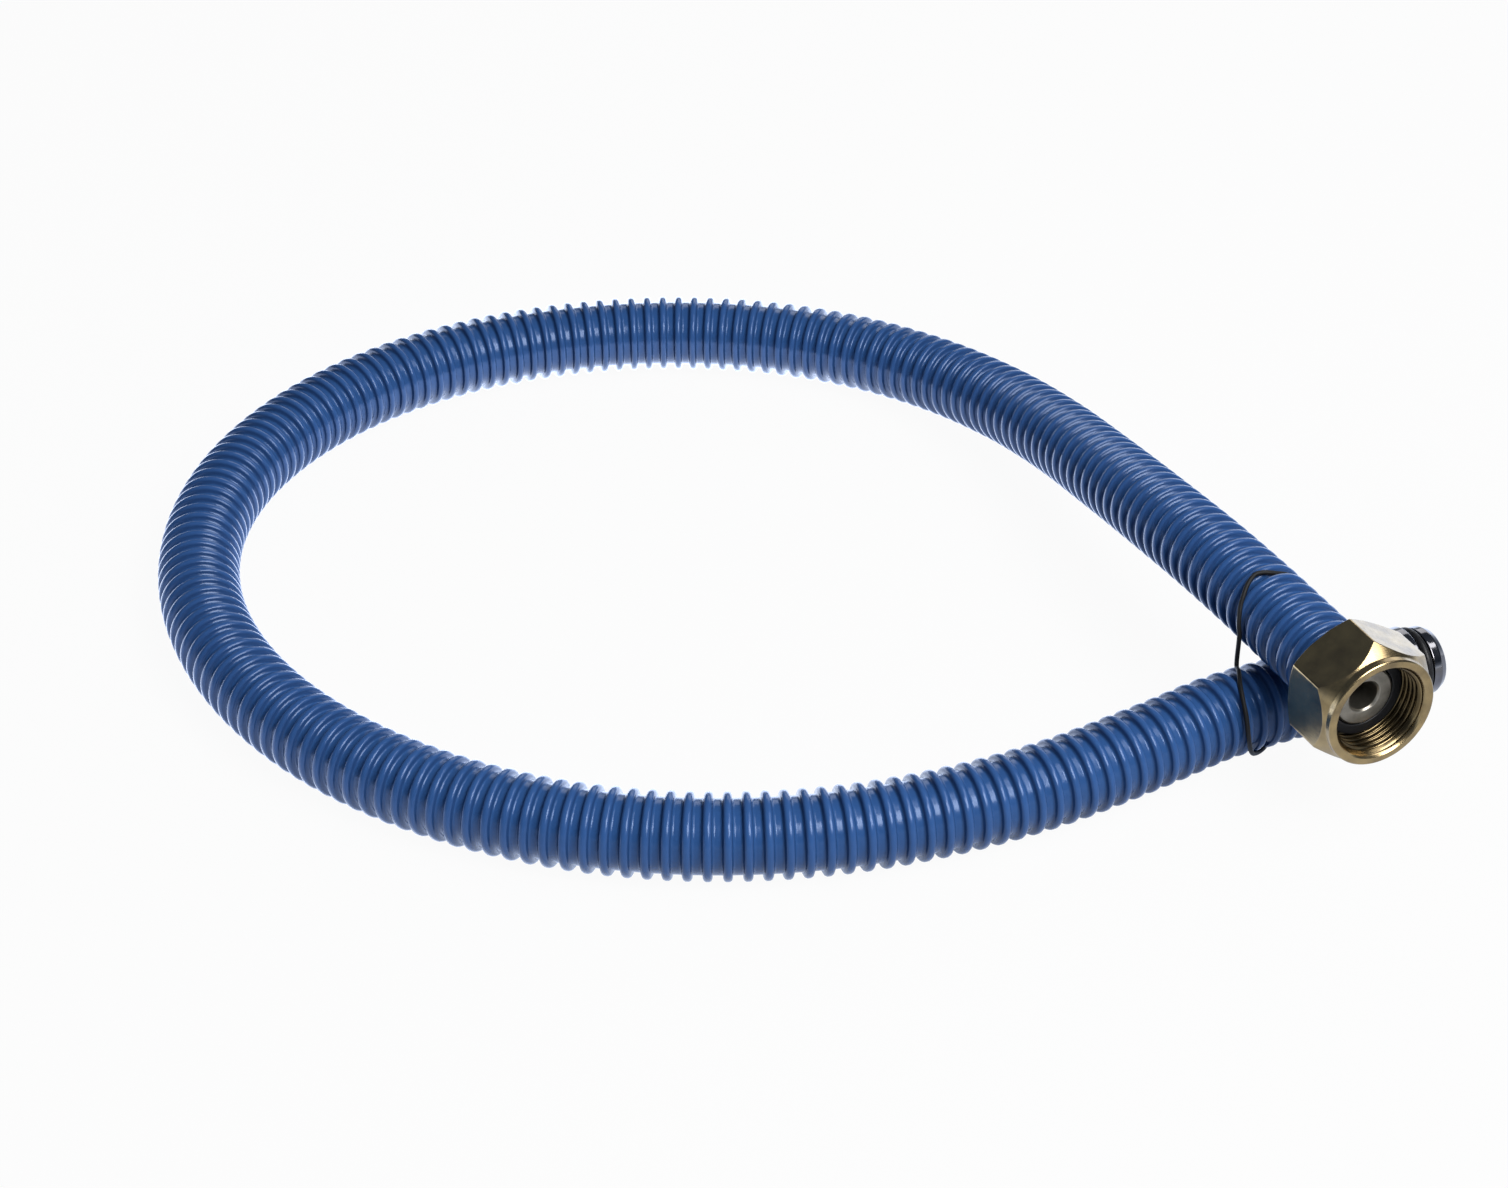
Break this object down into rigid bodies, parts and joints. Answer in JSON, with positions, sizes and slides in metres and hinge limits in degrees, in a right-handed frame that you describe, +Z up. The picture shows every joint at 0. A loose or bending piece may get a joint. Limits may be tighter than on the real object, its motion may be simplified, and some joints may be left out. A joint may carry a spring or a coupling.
{
  "type": "shower hose",
  "caption": "Flexible shower hose lying in a teardrop loop: ribbed plastic sleeve over a rubber liner, loose hexagon union nut at one end, plain spigot with an O-ring at the other.",
  "frame": {"origin": "on the floor under the middle of the bounding box of the loop", "axes": "+Z up from the floor; the union nut opens along -Y; the outlet spigot points along +X"},
  "size_m": [0.3169, 0.3378, 0.0583],
  "materials": {
    "blue_sleeve": "ribbed, satin gloss",
    "black_rubber": "matt",
    "nut_brass": "machined, bronze tone",
    "tail_plate": "dull nickel plate",
    "spigot_chrome": "polished plate on brass",
    "ferrule_steel": "rolled and crimped"
  },
  "bodies": {
    "hose": {"ribbed_sleeve": "blue_sleeve", "inner_liner": "black_rubber", "inlet_tail": "tail_plate", "seal_washer": "black_rubber", "inlet_ferrule": "ferrule_steel", "outlet_spigot": "spigot_chrome", "outlet_o_ring": "black_rubber", "outlet_ferrule": "ferrule_steel", "loop_band": "black_rubber"},
    "union_nut": {"union_nut": "nut_brass"}
  },
  "joints": [
    {"name": "nut_spin", "type": "hinge", "parent": "hose", "child": "union_nut", "pos_m": [0.1101, -0.159, 0.03922], "axis": [0, 1, 0], "continuous": true}
  ]
}
